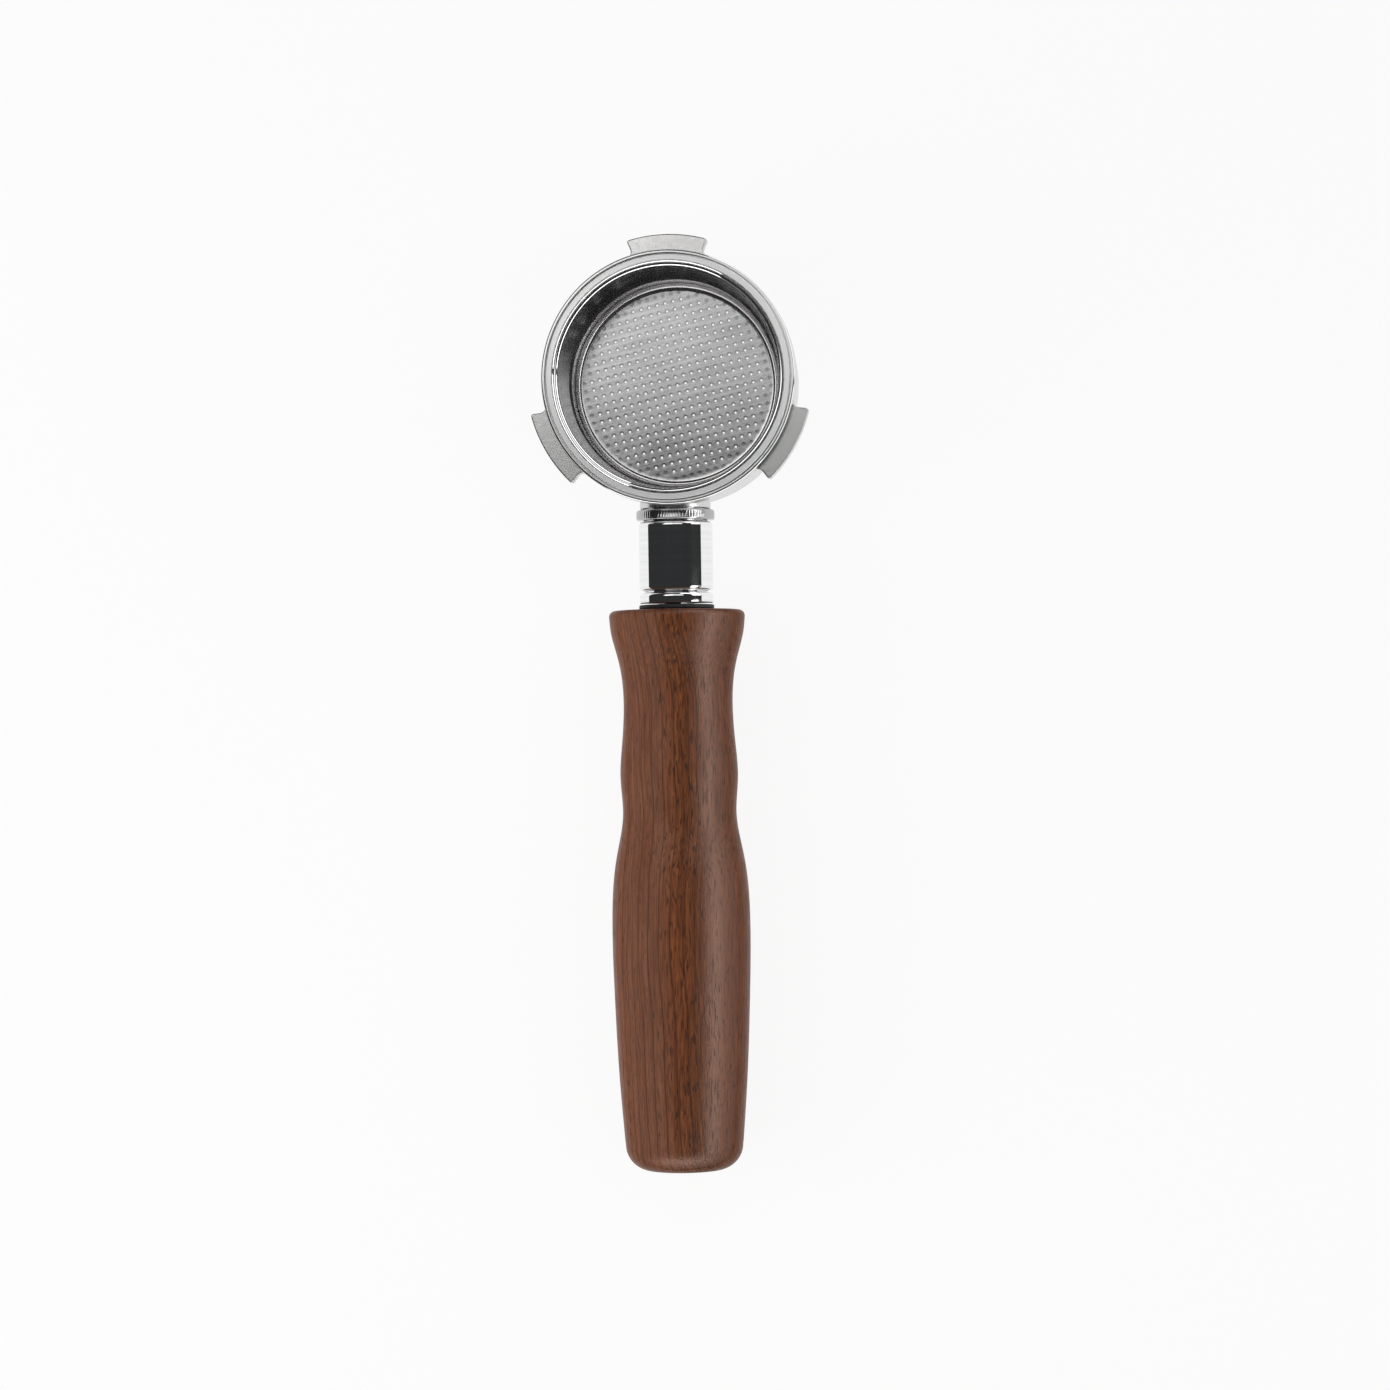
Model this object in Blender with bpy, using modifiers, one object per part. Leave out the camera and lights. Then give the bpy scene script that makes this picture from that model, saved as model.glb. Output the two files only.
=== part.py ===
"""A bottomless portafilter with a three-lug head, a lift-out filter basket and a turned wooden handle.

Metres, +Z up. The origin is on the head's axis, in the plane that the head stands on. The handle runs
along -Y.
"""

import math

import bmesh
import bpy
import numpy as np

MM = 0.001
GAP = 0.3 * MM  # left between pieces that touch
OVERSHOOT = 1 * MM  # how far a cutter runs past what it cuts

# Heights above the plane that the part lies on
RIM_TOP = 31.8 * MM  # top of the basket's flange, where the machine's gasket seals
LIP_TOP = 31.4 * MM
AXIS_HEIGHT = 16.8 * MM  # the neck's and the handle's axis

# Filter basket
MOUTH_RADIUS = 26.6 * MM
MOUTH_ROUND = 0.8 * MM
BEAD_RADIUS = 27.4 * MM  # the flange's inner edge, a small step above the mouth
BEAD_ROUND = 0.75 * MM
BEAD_DEPTH = 1.0 * MM
BEAD_OUTSIDE = 27.7 * MM
BASKET_DEPTH = 25.0 * MM
SHEET = 0.6 * MM
FLOOR_SHEET = 0.5 * MM
FLANGE_RADIUS = 29.4 * MM
FLANGE_THICK = 1.0 * MM
FLANGE_CORNER = 0.2 * MM
FLOOR_RADIUS = 23.2 * MM
FLOOR_ROUND = 1.8 * MM
WALL_AT_CLIP = 26.3 * MM
WALL_ABOVE_STEP = 25.7 * MM
WALL_BELOW_STEP = 25.2 * MM
CLIP_DEPTH = 7.8 * MM
STEP_DEPTH = 16.0 * MM
STEP_HEIGHT = 1.5 * MM

# Head ring
HEAD_RADIUS = 30.6 * MM
FLANGE_CLEARANCE = 0.3 * MM
LIP_INNER = FLANGE_RADIUS + FLANGE_CLEARANCE
LIP_ROUND = 0.12 * MM
RIM_ROUND = 0.5 * MM
UPPER_BORE = 28.0 * MM
LOWER_BORE = 27.3 * MM
BORE_STEP = 19.4 * MM
SKIRT_RADIUS = 29.4 * MM
SKIRT_TOP = 22.3 * MM
FOOT_ROUND = 0.5 * MM
LUG_RADIUS = 34.6 * MM
LUG_THICK = 3.4 * MM
LUG_TOP = 28.4 * MM
LUG_HALF_ANGLE = math.radians(16.5)
LUG_FLARE = math.radians(0.9)
LUG_ANGLES = [math.radians(90), math.radians(210), math.radians(330)]
LUG_EDGE = 0.35 * MM

# Clip wire in the head's groove
WIRE_RADIUS = 0.55 * MM
CLIP_RADIUS = 27.95 * MM
GROOVE_RADIUS = 28.85 * MM
GROOVE_HALF = 0.9 * MM
CLIP_GAP_ANGLE = math.radians(26)
CLIP_POINTS = 45

# Neck, as distances from the head's axis towards the handle
BOSS_RADIUS = 8.6 * MM
BOSS_END = 31.0 * MM
BOSS_START = 20.0 * MM  # inside the head, where the bore then cuts it away
SPIGOT_RADIUS = 7.4 * MM
SPIGOT_END = 35.0 * MM
COLLAR_RADIUS = 9.5 * MM
COLLAR_LENGTH = 2.5 * MM
SLEEVE_RADIUS = 9.0 * MM
SLEEVE_BORE = 7.75 * MM
FERRULE_START = 51.3 * MM
FERRULE_END = 54.0 * MM
FERRULE_SPIGOT = 3.2 * MM
WASHER_THICK = 1.0 * MM
WASHER_RADIUS = 9.1 * MM
NECK_EDGE = 0.25 * MM
NECK_ROUND = 1.0 * MM

# Tie stud, its nut and washer, and the insert in the wood
STUD_RADIUS = 3.9 * MM
STUD_HOLE = STUD_RADIUS + GAP
STUD_START = 29.4 * MM
STUD_BURIED = 24.0 * MM
STUD_CHAMFER = 1.0 * MM
SHANK_RADIUS = 3.35 * MM
NUT_ACROSS_FLATS = 13.0 * MM
NUT_THICK = 4.0 * MM
LOCK_WASHER_RADIUS = 6.9 * MM
LOCK_WASHER_THICK = 1.6 * MM
LOCK_WASHER_SLIT = 0.8 * MM
LOCK_WASHER_SLANT = math.radians(25)
SLIT_CUTTER_DEPTH = 6.0 * MM
INSERT_RADIUS = 6.4 * MM
INSERT_LENGTH = 24.5 * MM

# Wooden handle
HANDLE_LENGTH = 136.2 * MM
FACE_CORNER = 1.5 * MM
END_CORNER = 6.3 * MM
END_DOME = 0.5 * MM
# (distance from the handle's face, radius) where the outline turns
HANDLE_STATIONS = [
    (1.5 * MM, 16.50 * MM),
    (5.2 * MM, 16.12 * MM),
    (12.0 * MM, 14.40 * MM),
    (22.0 * MM, 13.25 * MM),
    (32.0 * MM, 13.75 * MM),
    (40.5 * MM, 14.28 * MM),
    (49.5 * MM, 13.80 * MM),
    (60.0 * MM, 15.53 * MM),
    (74.5 * MM, 16.74 * MM),
    (94.0 * MM, 16.40 * MM),
    (112.0 * MM, 15.60 * MM),
    (129.9 * MM, 14.25 * MM),
]

HEAD_STEPS = 48
NECK_STEPS = 32
HANDLE_STEPS = 40
HANDLE_SPANS = 2  # outline points for each stretch between two stations

STEEL = ((0.72, 0.72, 0.71), 0.32, 1.0)
SATIN_STEEL = ((0.62, 0.62, 0.61), 0.42, 1.0)
MIRROR_STEEL = ((0.80, 0.80, 0.80), 0.08, 1.0)
SPRING_STEEL = ((0.45, 0.45, 0.46), 0.35, 1.0)
ZINC = ((0.66, 0.67, 0.69), 0.38, 1.0)
BRASS = ((0.78, 0.57, 0.25), 0.30, 1.0)
BLACK_RUBBER = ((0.02, 0.02, 0.02), 0.65, 0.0)
DARK_WOOD = ((0.16, 0.05, 0.022), 0.38, 0.0)


def clear_scene():
    for obj in list(bpy.data.objects):
        bpy.data.objects.remove(obj, do_unlink=True)


def new_collection(name):
    collection = bpy.data.collections.new(name)
    bpy.context.scene.collection.children.link(collection)
    return collection


def material(name, finish):
    colour, roughness, metallic = finish
    made = bpy.data.materials.new(name)
    made.use_nodes = True
    shader = made.node_tree.nodes["Principled BSDF"]
    shader.inputs["Base Color"].default_value = (*colour, 1.0)
    shader.inputs["Roughness"].default_value = roughness
    shader.inputs["Metallic"].default_value = metallic
    made.diffuse_color = (*colour, 1.0)
    return made


def add_object(name, mesh, collection, finish=None):
    obj = bpy.data.objects.new(name, mesh)
    collection.objects.link(obj)
    if finish:
        mesh.materials.append(finish)
    return obj


def make_cutter(obj):
    obj.hide_render = True
    obj.display_type = "WIRE"
    return obj


def arc(centre_r, centre_z, radius, start, end, count):
    """Points on an arc in the profile's plane, from start to end, in degrees."""
    points = []
    for i in range(count + 1):
        angle = math.radians(start + (end - start) * i / count)
        points.append((centre_r + radius * math.cos(angle), centre_z + radius * math.sin(angle)))
    return points


def turned(name, outline, steps, collection, finish=None):
    """A solid turned about its own Z axis from a closed outline of (radius, height)."""
    area = 0.0
    for (r1, z1), (r2, z2) in zip(outline, outline[1:] + outline[:1]):
        area += r1 * z2 - r2 * z1
    if area > 0:
        outline = outline[::-1]  # the outer side has to run downwards
    bm = bmesh.new()
    points = [bm.verts.new((r, 0.0, z)) for r, z in outline]
    for first, second in zip(points, points[1:] + points[:1]):
        on_axis = first.co.x < 1e-7 and second.co.x < 1e-7
        if not on_axis:
            bm.edges.new((first, second))
    mesh = bpy.data.meshes.new(name)
    bm.to_mesh(mesh)
    bm.free()
    obj = add_object(name, mesh, collection, finish)
    screw = obj.modifiers.new("Turned", "SCREW")
    screw.axis = "Z"
    screw.angle = math.tau
    screw.steps = steps
    screw.render_steps = steps
    screw.use_merge_vertices = True
    screw.merge_threshold = 0.00001
    screw.use_smooth_shade = True
    return obj


def along_handle(obj):
    """Lays a piece turned about Z on the handle's axis: its Z then runs from the head along -Y."""
    obj.location = (0.0, 0.0, AXIS_HEIGHT)
    obj.rotation_euler = (math.pi / 2, 0.0, 0.0)
    return obj


def neck_piece(name, outline, collection, finish, steps=NECK_STEPS):
    """A piece turned on the neck's and the handle's axis."""
    return along_handle(turned(name, outline, steps, collection, finish))


def tube_outline(outer, inner, low, high, edge):
    """A plain tube with its four rims chamfered by edge."""
    return [
        (outer, low + edge),
        (outer, high - edge),
        (outer - edge, high),
        (inner + edge, high),
        (inner, high - edge),
        (inner, low + edge),
        (inner + edge, low),
        (outer - edge, low),
    ]


def boolean(obj, other, operation):
    modifier = obj.modifiers.new(other.name, "BOOLEAN")
    modifier.operation = operation
    modifier.object = other
    modifier.solver = "EXACT"


def smooth_curve(stations, spans):
    """Points on the natural cubic spline through the stations."""
    x = np.array([s[0] for s in stations])
    y = np.array([s[1] for s in stations])
    h = np.diff(x)
    count = len(x)
    matrix = np.eye(count)
    right = np.zeros(count)
    for i in range(1, count - 1):
        matrix[i, i - 1 : i + 2] = [h[i - 1], 2 * (h[i - 1] + h[i]), h[i]]
        right[i] = 6 * ((y[i + 1] - y[i]) / h[i] - (y[i] - y[i - 1]) / h[i - 1])
    bend = np.linalg.solve(matrix, right)
    points = []
    for i in range(count - 1):
        for k in range(spans):
            t = h[i] * k / spans
            slope = (y[i + 1] - y[i]) / h[i] - h[i] * (2 * bend[i] + bend[i + 1]) / 6
            rise = slope * t + bend[i] * t**2 / 2 + (bend[i + 1] - bend[i]) * t**3 / (6 * h[i])
            points.append((float(y[i] + rise), float(x[i] + t)))
    points.append((float(y[-1]), float(x[-1])))
    return points


def head_blank(collection, finish):
    """The head before boring: a turned disc with a rounded rim, a shoulder under it and a plain skirt."""
    shoulder = HEAD_RADIUS - SKIRT_RADIUS
    outline = [(0.0, LIP_TOP)]
    outline += arc(HEAD_RADIUS - RIM_ROUND, LIP_TOP - RIM_ROUND, RIM_ROUND, 90, 0, 3)
    outline += [(HEAD_RADIUS, SKIRT_TOP + shoulder), (SKIRT_RADIUS, SKIRT_TOP)]
    outline += arc(SKIRT_RADIUS - FOOT_ROUND, FOOT_ROUND, FOOT_ROUND, 0, -90, 3)
    outline += [(0.0, 0.0)]
    return turned("head_ring", outline, HEAD_STEPS, collection, finish)


def bore_cutter(collection):
    """What is bored out of the head: stepped bore, clip groove, ledge for the basket, rounded lip."""
    ledge = RIM_TOP - FLANGE_THICK - GAP
    groove = RIM_TOP - CLIP_DEPTH
    step = UPPER_BORE - LOWER_BORE
    outline = [(0.0, -OVERSHOOT), (LOWER_BORE + FOOT_ROUND, -OVERSHOOT)]
    outline += [(LOWER_BORE + FOOT_ROUND, 0.0), (LOWER_BORE, FOOT_ROUND)]
    outline += [(LOWER_BORE, BORE_STEP), (UPPER_BORE, BORE_STEP + step)]
    outline += [(UPPER_BORE, groove - GROOVE_HALF), (GROOVE_RADIUS, groove - GROOVE_HALF)]
    outline += [(GROOVE_RADIUS, groove + GROOVE_HALF), (UPPER_BORE, groove + GROOVE_HALF)]
    outline += [(UPPER_BORE, ledge - FOOT_ROUND), (UPPER_BORE + FOOT_ROUND, ledge), (LIP_INNER, ledge)]
    outline += arc(LIP_INNER + LIP_ROUND, LIP_TOP - LIP_ROUND, LIP_ROUND, 180, 90, 2)
    outline += [(LIP_INNER + LIP_ROUND, LIP_TOP + OVERSHOOT), (0.0, LIP_TOP + OVERSHOOT)]
    return make_cutter(turned("bore", outline, HEAD_STEPS, collection))


def hole_cutter(name, low, high, collection):
    """A plain hole for the stud, on the handle's axis."""
    outline = [(0.0, low), (STUD_HOLE, low), (STUD_HOLE, high), (0.0, high)]
    return make_cutter(along_handle(turned(name, outline, NECK_STEPS // 2, collection)))


def lug(index, angle, collection):
    """One bayonet lug: a flat sector with slightly flared sides, its root inside the ring's wall."""
    root = (SKIRT_RADIUS + UPPER_BORE) / 2
    root_half = LUG_HALF_ANGLE - LUG_FLARE
    outline = []
    for k in range(5):
        turn = angle + LUG_HALF_ANGLE * (k / 2 - 1)
        outline.append((LUG_RADIUS * math.cos(turn), LUG_RADIUS * math.sin(turn)))
    for k in range(3):
        turn = angle + root_half * (1 - k)
        outline.append((root * math.cos(turn), root * math.sin(turn)))
    bm = bmesh.new()
    corners = [bm.verts.new((x, y, LUG_TOP - LUG_THICK)) for x, y in outline]
    face = bm.faces.new(corners)
    grown = bmesh.ops.extrude_face_region(bm, geom=[face])
    risen = [v for v in grown["geom"] if isinstance(v, bmesh.types.BMVert)]
    bmesh.ops.translate(bm, vec=(0.0, 0.0, LUG_THICK), verts=risen)
    bmesh.ops.recalc_face_normals(bm, faces=bm.faces)
    sharp = [e for e in bm.edges if e.calc_face_angle(0.0) > math.radians(30)]
    bmesh.ops.bevel(bm, geom=sharp, offset=LUG_EDGE, segments=1, affect="EDGES")
    mesh = bpy.data.meshes.new(f"lug_{index}")
    bm.to_mesh(mesh)
    bm.free()
    return make_cutter(add_object(mesh.name, mesh, collection))


def head_ring(parts, helpers):
    ring = head_blank(parts, material("satin_steel", SATIN_STEEL))
    for index, angle in enumerate(LUG_ANGLES):
        boolean(ring, lug(index, angle, helpers), "UNION")
    boss_outline = [
        (0.0, BOSS_START),
        (BOSS_RADIUS, BOSS_START),
        (BOSS_RADIUS, BOSS_END),
        (SPIGOT_RADIUS, BOSS_END),
        (SPIGOT_RADIUS, SPIGOT_END - NECK_EDGE),
        (SPIGOT_RADIUS - NECK_EDGE, SPIGOT_END),
        (0.0, SPIGOT_END),
    ]
    boss = turned("boss", boss_outline, NECK_STEPS, helpers)
    boolean(ring, make_cutter(along_handle(boss)), "UNION")
    boolean(ring, bore_cutter(helpers), "DIFFERENCE")
    hole = hole_cutter("boss_hole", STUD_START - GAP, SPIGOT_END + OVERSHOOT, helpers)
    boolean(ring, hole, "DIFFERENCE")
    return ring


def filter_basket(parts):
    """The pressed basket. Its floor is plain here: the perforations are far finer than this model."""
    floor = RIM_TOP - BASKET_DEPTH
    below_mouth = RIM_TOP - BEAD_DEPTH - MOUTH_ROUND
    clip = RIM_TOP - CLIP_DEPTH
    step_top = RIM_TOP - STEP_DEPTH
    step_low = step_top - STEP_HEIGHT
    flange_low = RIM_TOP - FLANGE_THICK
    inner = [(0.0, floor)]
    inner += arc(FLOOR_RADIUS, floor + FLOOR_ROUND, FLOOR_ROUND, -90, 0, 4)
    inner += [(WALL_BELOW_STEP, step_low), (WALL_ABOVE_STEP, step_top), (WALL_AT_CLIP, clip)]
    inner += arc(MOUTH_RADIUS + MOUTH_ROUND, below_mouth, MOUTH_ROUND, 180, 90, 3)
    inner += arc(BEAD_RADIUS + BEAD_ROUND, RIM_TOP - BEAD_ROUND, BEAD_ROUND, 180, 90, 3)
    corner = FLANGE_RADIUS - FLANGE_CORNER
    outer = arc(corner, RIM_TOP - FLANGE_CORNER, FLANGE_CORNER, 90, 0, 2)
    outer += arc(corner, flange_low + FLANGE_CORNER, FLANGE_CORNER, 0, -90, 2)
    outer += [(BEAD_OUTSIDE + GAP, flange_low), (BEAD_OUTSIDE, flange_low - GAP)]
    outer += [(MOUTH_RADIUS + SHEET, below_mouth - SHEET)]
    outer += [(WALL_AT_CLIP + SHEET, clip), (WALL_ABOVE_STEP + SHEET, step_top)]
    outer += [(WALL_BELOW_STEP + SHEET, step_low)]
    outer += arc(FLOOR_RADIUS, floor + FLOOR_ROUND, FLOOR_ROUND + FLOOR_SHEET, 0, -90, 4)
    outer += [(0.0, floor - FLOOR_SHEET)]
    return turned("filter_basket", inner + outer, HEAD_STEPS, parts, material("steel", STEEL))


def retaining_spring(parts):
    """A C-shaped wire, open towards the handle."""
    curve = bpy.data.curves.new("retaining_spring", "CURVE")
    curve.dimensions = "3D"
    curve.bevel_depth = WIRE_RADIUS
    curve.bevel_resolution = 2
    curve.use_fill_caps = True
    spline = curve.splines.new("POLY")
    spline.points.add(CLIP_POINTS - 1)
    height = RIM_TOP - CLIP_DEPTH
    start = -math.pi / 2 + CLIP_GAP_ANGLE / 2
    sweep = math.tau - CLIP_GAP_ANGLE
    for i, point in enumerate(spline.points):
        angle = start + sweep * i / (CLIP_POINTS - 1)
        point.co = (CLIP_RADIUS * math.cos(angle), CLIP_RADIUS * math.sin(angle), height, 1.0)
    curve.materials.append(material("spring_steel", SPRING_STEEL))
    spring = bpy.data.objects.new("retaining_spring", curve)
    parts.objects.link(spring)
    return spring


def neck_collar(parts):
    low = BOSS_END + GAP
    outline = tube_outline(COLLAR_RADIUS, SLEEVE_BORE, low, low + COLLAR_LENGTH, NECK_EDGE * 2)
    return neck_piece("neck_collar", outline, parts, material("collar_steel", MIRROR_STEEL))


def neck_sleeve(parts):
    low = BOSS_END + GAP + COLLAR_LENGTH + GAP
    high = FERRULE_START - GAP
    outline = arc(SLEEVE_RADIUS - NECK_ROUND, low + NECK_ROUND, NECK_ROUND, -90, 0, 3)
    outline += arc(SLEEVE_RADIUS - NECK_ROUND, high - NECK_ROUND, NECK_ROUND, 0, 90, 3)
    outline += [(SLEEVE_BORE, high), (SLEEVE_BORE, low)]
    return neck_piece("neck_sleeve", outline, parts, material("sleeve_steel", MIRROR_STEEL))


def neck_ferrule(parts):
    """The sleeve's end ring, with a spigot that centres the sleeve and a hole for the stud."""
    outline = [(SPIGOT_RADIUS, FERRULE_START - FERRULE_SPIGOT), (SPIGOT_RADIUS, FERRULE_START)]
    outline += arc(SLEEVE_RADIUS - NECK_ROUND, FERRULE_START + NECK_ROUND, NECK_ROUND, -90, 0, 3)
    outline += [(SLEEVE_RADIUS, FERRULE_END - NECK_EDGE), (SLEEVE_RADIUS - NECK_EDGE, FERRULE_END)]
    outline += [(STUD_HOLE, FERRULE_END), (STUD_HOLE, FERRULE_START - FERRULE_SPIGOT)]
    return neck_piece("neck_ferrule", outline, parts, material("ferrule_steel", MIRROR_STEEL))


def handle_washer(parts):
    low = FERRULE_END + GAP
    outline = tube_outline(WASHER_RADIUS, STUD_HOLE, low, low + WASHER_THICK, NECK_EDGE)
    return neck_piece("handle_washer", outline, parts, material("black_rubber", BLACK_RUBBER))


def tie_stud(parts, face):
    """The stud, with chamfered ends and a plain shank between its threaded ends."""
    end = face + STUD_BURIED
    tip = STUD_RADIUS - STUD_CHAMFER
    shank_low = SPIGOT_END + LOCK_WASHER_THICK + NUT_THICK + 3 * GAP
    shank_high = FERRULE_START - FERRULE_SPIGOT
    slope = STUD_RADIUS - SHANK_RADIUS
    outline = [
        (0.0, STUD_START),
        (tip, STUD_START),
        (STUD_RADIUS, STUD_START + STUD_CHAMFER),
        (STUD_RADIUS, shank_low),
        (SHANK_RADIUS, shank_low + slope),
        (SHANK_RADIUS, shank_high - slope),
        (STUD_RADIUS, shank_high),
        (STUD_RADIUS, end - STUD_CHAMFER),
        (tip, end),
        (0.0, end),
    ]
    return neck_piece("tie_stud", outline, parts, material("zinc", ZINC), NECK_STEPS // 2)


def hexagon_prism(name, across_flats, low, high, collection, finish):
    """A six-sided prism along its own Z axis, its corners cut back as a nut's are."""
    bm = bmesh.new()
    radius = across_flats / 2 / math.cos(math.pi / 6)
    bmesh.ops.create_cone(
        bm, cap_ends=True, segments=6, radius1=radius, radius2=radius, depth=high - low
    )
    bmesh.ops.translate(bm, vec=(0.0, 0.0, (low + high) / 2), verts=bm.verts)
    rims = [e for e in bm.edges if abs(e.verts[0].co.z - e.verts[1].co.z) < 1e-7]
    bmesh.ops.bevel(bm, geom=rims, offset=NECK_EDGE * 2, segments=1, affect="EDGES")
    mesh = bpy.data.meshes.new(name)
    bm.to_mesh(mesh)
    bm.free()
    return add_object(name, mesh, collection, finish)


def stud_lock_nut(parts, helpers):
    low = SPIGOT_END + GAP + LOCK_WASHER_THICK + GAP
    finish = material("nut_zinc", ZINC)
    nut = hexagon_prism("stud_lock_nut", NUT_ACROSS_FLATS, low, low + NUT_THICK, parts, finish)
    along_handle(nut)
    hole = hole_cutter("nut_hole", low - OVERSHOOT, low + NUT_THICK + OVERSHOOT, helpers)
    boolean(nut, hole, "DIFFERENCE")
    return nut


def stud_lock_washer(parts, helpers):
    """A split spring washer, its slit cut slantwise through one side."""
    low = SPIGOT_END + GAP
    outline = tube_outline(LOCK_WASHER_RADIUS, STUD_HOLE, low, low + LOCK_WASHER_THICK, NECK_EDGE)
    finish = material("washer_steel", SPRING_STEEL)
    washer = neck_piece("stud_lock_washer", outline, parts, finish, NECK_STEPS // 2)
    bm = bmesh.new()
    bmesh.ops.create_cube(bm, size=1.0)
    size = (LOCK_WASHER_SLIT, LOCK_WASHER_RADIUS, SLIT_CUTTER_DEPTH)
    bmesh.ops.scale(bm, vec=size, verts=bm.verts)
    mesh = bpy.data.meshes.new("washer_slit")
    bm.to_mesh(mesh)
    bm.free()
    slit = make_cutter(add_object("washer_slit", mesh, helpers))
    middle = (STUD_HOLE + LOCK_WASHER_RADIUS) / 2
    slit.location = (0.0, -(low + LOCK_WASHER_THICK / 2), AXIS_HEIGHT + middle)
    slit.rotation_euler = (math.pi / 2, 0.0, LOCK_WASHER_SLANT)
    boolean(washer, slit, "DIFFERENCE")
    return washer


def handle_insert(parts, face):
    outline = tube_outline(INSERT_RADIUS, STUD_HOLE, face + GAP, face + INSERT_LENGTH, NECK_EDGE * 2)
    return neck_piece("handle_insert", outline, parts, material("brass", BRASS))


def wooden_handle(parts, face):
    """The turned handle: flared front, slim waist, low ridge, full grip, rounded end, insert's pocket."""
    pocket = INSERT_RADIUS + GAP
    pocket_depth = INSERT_LENGTH + GAP
    side = [(r, face + t) for r, t in smooth_curve(HANDLE_STATIONS, HANDLE_SPANS)]
    last_radius = HANDLE_STATIONS[-1][1]
    end = face + HANDLE_LENGTH
    outline = [(0.0, face + pocket_depth), (pocket, face + pocket_depth), (pocket, face)]
    front_radius = HANDLE_STATIONS[0][1]
    outline += arc(front_radius - FACE_CORNER, face + FACE_CORNER, FACE_CORNER, -90, 0, 4)[:-1]
    outline += side[:-1]
    corner = arc(last_radius - END_CORNER, end - END_DOME - END_CORNER, END_CORNER, 0, 80, 6)
    outline += corner
    dome_radius, dome_start = corner[-1]
    for k in (2 / 3, 1 / 3, 0):
        outline.append((dome_radius * k, end - (end - dome_start) * k**2))
    return neck_piece("wooden_handle", outline, parts, material("dark_wood", DARK_WOOD), HANDLE_STEPS)


def main():
    clear_scene()
    parts = new_collection("portafilter")
    helpers = new_collection("cutters")
    face = FERRULE_END + GAP + WASHER_THICK + GAP
    head_ring(parts, helpers)
    filter_basket(parts)
    retaining_spring(parts)
    neck_collar(parts)
    neck_sleeve(parts)
    neck_ferrule(parts)
    handle_washer(parts)
    tie_stud(parts, face)
    stud_lock_washer(parts, helpers)
    stud_lock_nut(parts, helpers)
    handle_insert(parts, face)
    wooden_handle(parts, face)


main()
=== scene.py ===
"""How the bottomless portafilter looks: detailed pieces, materials, light and camera around its CAD model.

Metres, in the CAD model's frame: +Z up out of the basket's mouth, the handle along -Y. Pieces of the neck and
the handle are turned about the handle's axis and described by s, the distance from the head's axis.
"""

import math

import bmesh
import bpy
import numpy as np
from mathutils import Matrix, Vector
from mathutils.geometry import delaunay_2d_cdt


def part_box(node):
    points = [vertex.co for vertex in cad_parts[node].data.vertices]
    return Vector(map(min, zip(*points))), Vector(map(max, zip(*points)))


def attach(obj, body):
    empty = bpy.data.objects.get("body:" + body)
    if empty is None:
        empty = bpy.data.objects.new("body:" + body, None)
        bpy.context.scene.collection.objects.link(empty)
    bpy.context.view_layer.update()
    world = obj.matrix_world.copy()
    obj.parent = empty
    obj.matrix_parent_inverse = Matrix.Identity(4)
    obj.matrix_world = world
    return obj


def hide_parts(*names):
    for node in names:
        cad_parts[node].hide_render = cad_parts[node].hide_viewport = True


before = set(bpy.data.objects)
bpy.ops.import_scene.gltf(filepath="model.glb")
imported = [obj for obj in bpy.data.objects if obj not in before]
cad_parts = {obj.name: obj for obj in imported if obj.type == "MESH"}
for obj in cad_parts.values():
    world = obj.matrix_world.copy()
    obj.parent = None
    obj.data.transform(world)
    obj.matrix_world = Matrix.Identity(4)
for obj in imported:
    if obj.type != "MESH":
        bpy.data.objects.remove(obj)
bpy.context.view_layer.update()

MM = 0.001

# Places that the CAD model gives
_, basket_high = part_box("filter_basket")
head_low, head_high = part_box("head_ring")
clip_low, clip_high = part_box("retaining_spring")
collar_low, collar_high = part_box("neck_collar")
sleeve_low, sleeve_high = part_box("neck_sleeve")
ferrule_low, ferrule_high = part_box("neck_ferrule")
washer_low, washer_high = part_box("handle_washer")
handle_low, handle_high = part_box("wooden_handle")

RIM_TOP = basket_high.z
FLANGE_RADIUS = basket_high.x
LIP_TOP = head_high.z
LUG_RADIUS = head_high.y
SPIGOT_END = -head_low.y
AXIS_HEIGHT = (sleeve_low.z + sleeve_high.z) / 2
HANDLE_FACE = -handle_high.y
HANDLE_END = -handle_low.y

# Filter basket
MOUTH_RADIUS = 26.6 * MM
MOUTH_ROUND = 0.8 * MM
BEAD_RADIUS = 27.4 * MM
BEAD_ROUND = 0.75 * MM
BEAD_DEPTH = 1.0 * MM
BEAD_OUTSIDE = 27.7 * MM
CREASE_START = 115  # degrees round the bead, where its face ends in the crease
CREASE_DEPTH = 0.30 * MM
CREASE_WIDTH = 0.26 * MM
CREASE_SLOPE = 0.04 * MM
CREASE_EDGE = 0.03 * MM
BASKET_DEPTH = 25.0 * MM
SHEET = 0.6 * MM
FLOOR_SHEET = 0.5 * MM
FLANGE_THICK = 1.0 * MM
FLANGE_CORNER = 0.2 * MM
FLANGE_GAP = 0.3 * MM
FLOOR_RADIUS = 23.2 * MM
FLOOR_ROUND = 1.8 * MM
WALL_AT_CLIP = 26.3 * MM
WALL_ABOVE_STEP = 25.7 * MM
WALL_BELOW_STEP = 25.2 * MM
CLIP_DEPTH = 7.8 * MM
STEP_DEPTH = 16.0 * MM
STEP_HEIGHT = 1.5 * MM
STEP_BEND = 0.7 * MM
CLIP_BEND = 1.5 * MM
HOLE_RADIUS = 0.29 * MM
HOLE_PITCH = 2.03 * MM
HOLE_FIELD = 21.8 * MM
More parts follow.
